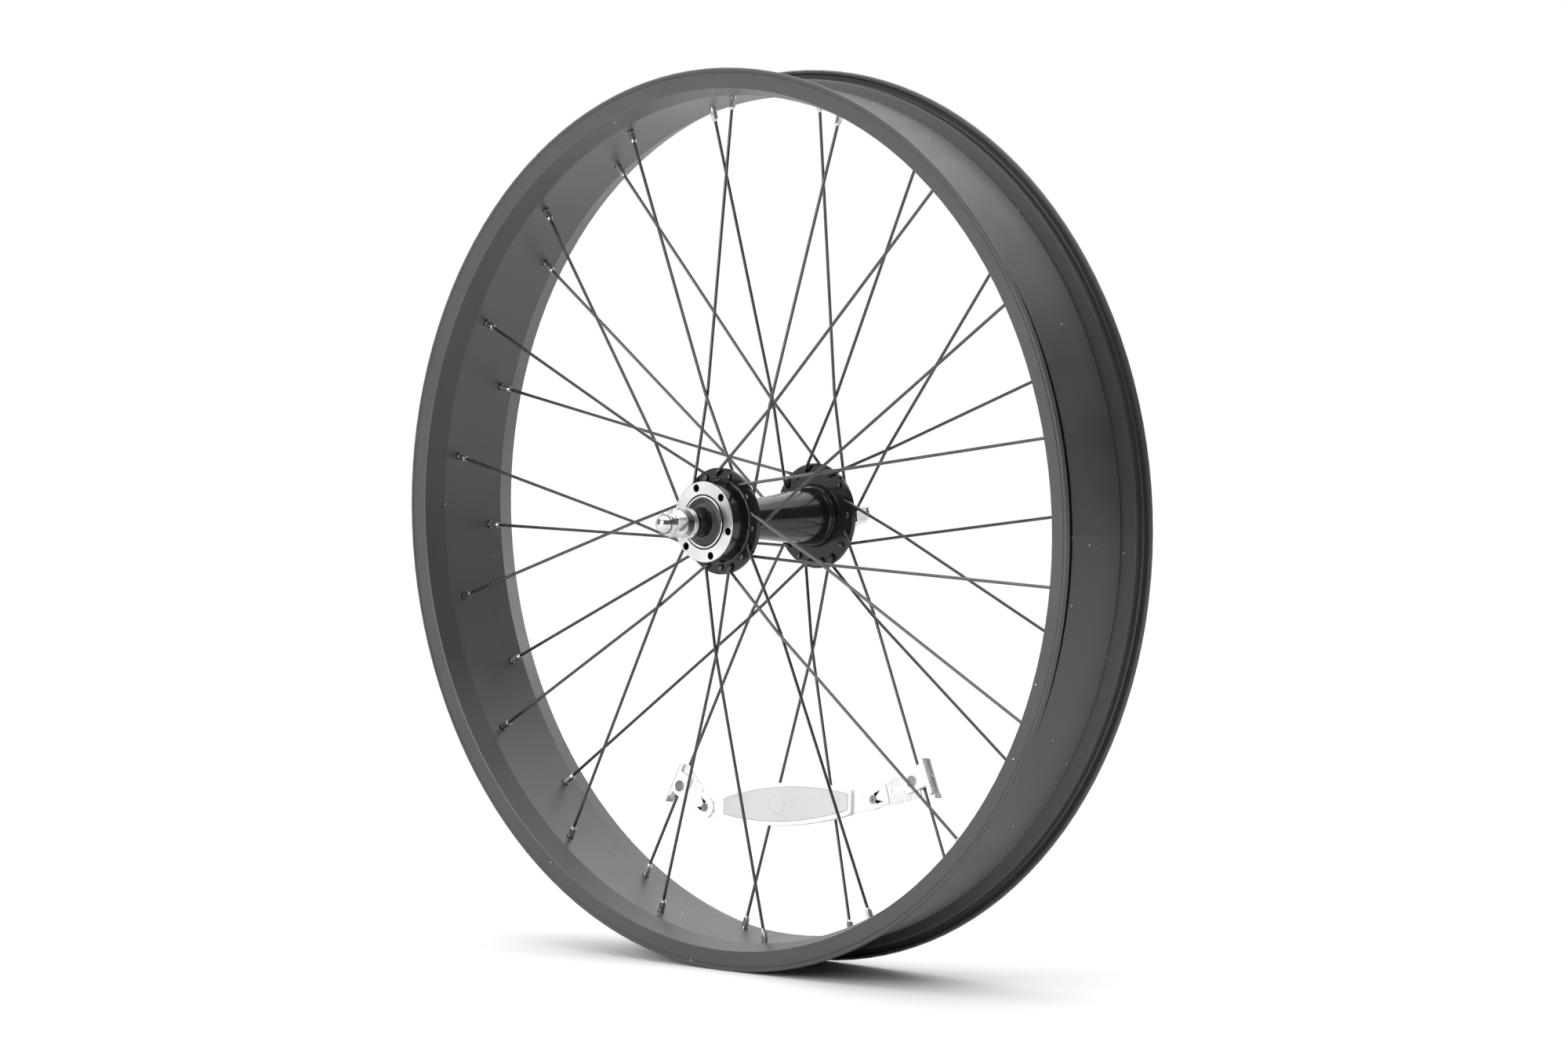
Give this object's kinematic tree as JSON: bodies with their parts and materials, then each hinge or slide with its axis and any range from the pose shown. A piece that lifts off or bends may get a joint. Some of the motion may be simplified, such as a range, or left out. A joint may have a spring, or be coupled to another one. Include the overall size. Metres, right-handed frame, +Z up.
{
  "type": "spoked wheel",
  "caption": "Wide-rim bicycle front wheel with crossed wire spokes, disc hub on cup-and-cone bearings, solid axle with acorn nuts, and a clear spoke reflector.",
  "frame": {"origin": "wheel centre, on the axle midway between the locknut faces", "axes": "+Y along the axle away from the disc side, +Z up, the reflector at the bottom"},
  "size_m": [0.572, 0.1946, 0.572],
  "materials": {
    "rim": "satin black anodised extrusion",
    "strip": "smooth satin",
    "hub": "gloss black with a machined disc face",
    "spoke": "gloss black wire",
    "nipple": "nickel plate",
    "thread_steel": "rolled thread",
    "black_steel": "black oxide",
    "zinc": "bright zinc",
    "chrome": "polished",
    "bearing_steel": "ground",
    "bright_metal": "turned",
    "rubber": "smooth",
    "white_plastic": "satin",
    "clear_lens": "prismatic",
    "rivet": "plated",
    "latch": "translucent"
  },
  "bodies": {
    "axle_set": {"axle": "thread_steel", "cone_left": "black_steel", "keyed_washer_left": "black_steel", "locknut_left": "black_steel", "cone_right": "black_steel", "keyed_washer_right": "black_steel", "locknut_right": "black_steel"},
    "wheel": {"hub_shell": "hub", "rim": "rim", "rim_strip": "strip", "bearing_cup_left": "bearing_steel", "dust_ring_left": "bright_metal", "dust_seal_left": "rubber", "nipples_left": "nipple", "clip_left": "white_plastic", "clip_pin_left": "rivet", "bearing_cup_right": "bearing_steel", "dust_ring_right": "bright_metal", "dust_seal_right": "rubber", "nipples_right": "nipple", "clip_right": "white_plastic", "clip_pin_right": "rivet", "spokes_left_outer": "spoke", "spokes_left_inner": "spoke", "spokes_right_outer": "spoke", "spokes_right_inner": "spoke"},
    "bearing_left": {"bearing_balls_left": "bearing_steel", "ball_retainer_left": "bearing_steel"},
    "bearing_right": {"bearing_balls_right": "bearing_steel", "ball_retainer_right": "bearing_steel"},
    "washer_left": {"axle_washer_left": "zinc"},
    "washer_right": {"axle_washer_right": "zinc"},
    "nut_left": {"acorn_nut_left": "chrome"},
    "nut_right": {"acorn_nut_right": "chrome"},
    "reflector": {"reflector_frame": "white_plastic", "reflector_lens": "clear_lens", "reflector_arm_right": "white_plastic", "reflector_rivet_left": "rivet", "reflector_rivet_right": "rivet"},
    "reflector_arm": {"reflector_arm_left": "white_plastic"},
    "latch_left": {"clip_latch_left": "latch"},
    "latch_right": {"clip_latch_right": "latch"}
  },
  "joints": [
    {"name": "wheel_spin", "type": "hinge", "parent": "axle_set", "child": "wheel", "pos_m": [0, 0, 0], "axis": [0, 1, 0], "continuous": true},
    {"name": "balls_left_spin", "type": "hinge", "parent": "axle_set", "child": "bearing_left", "pos_m": [0, -0.051, 0], "axis": [0, 1, 0], "continuous": true},
    {"name": "washer_left_slide", "type": "slide", "parent": "axle_set", "child": "washer_left", "axis": [0, -1, 0], "range_m": [-0.003, 0.0015]},
    {"name": "nut_left_slide", "type": "slide", "parent": "axle_set", "child": "nut_left", "axis": [0, -1, 0], "range_m": [-0.0015, 0.02]},
    {"name": "balls_right_spin", "type": "hinge", "parent": "axle_set", "child": "bearing_right", "pos_m": [0, 0.051, 0], "axis": [0, 1, 0], "continuous": true},
    {"name": "washer_right_slide", "type": "slide", "parent": "axle_set", "child": "washer_right", "axis": [0, 1, 0], "range_m": [-0.003, 0.0015]},
    {"name": "nut_right_slide", "type": "slide", "parent": "axle_set", "child": "nut_right", "axis": [0, 1, 0], "range_m": [-0.0015, 0.02]},
    {"name": "reflector_slide", "type": "slide", "parent": "wheel", "child": "reflector", "axis": [0.917, 0.0583, 0.3947], "range_m": [-0.0001, 0.001]},
    {"name": "reflector_arm_pivot", "type": "hinge", "parent": "reflector", "child": "reflector_arm", "pos_m": [-0.069, 0.0179, -0.19134], "axis": [0, 0.9893, -0.1461], "range_deg": [-1.8, 1.8]},
    {"name": "latch_left_slide", "type": "slide", "parent": "wheel", "child": "latch_left", "axis": [0.3806, 0.1351, 0.9148], "range_m": [0, 0.004]},
    {"name": "latch_right_slide", "type": "slide", "parent": "wheel", "child": "latch_right", "axis": [-0.4759, 0.1285, 0.87], "range_m": [0, 0.004]}
  ],
  "couplings": [
    {"joint": "balls_left_spin", "follows": "wheel_spin", "ratio": 0.5738},
    {"joint": "balls_right_spin", "follows": "wheel_spin", "ratio": 0.5738},
    {"joint": "reflector_arm_pivot", "follows": "reflector_slide", "rad_per_m": -28.274}
  ]
}
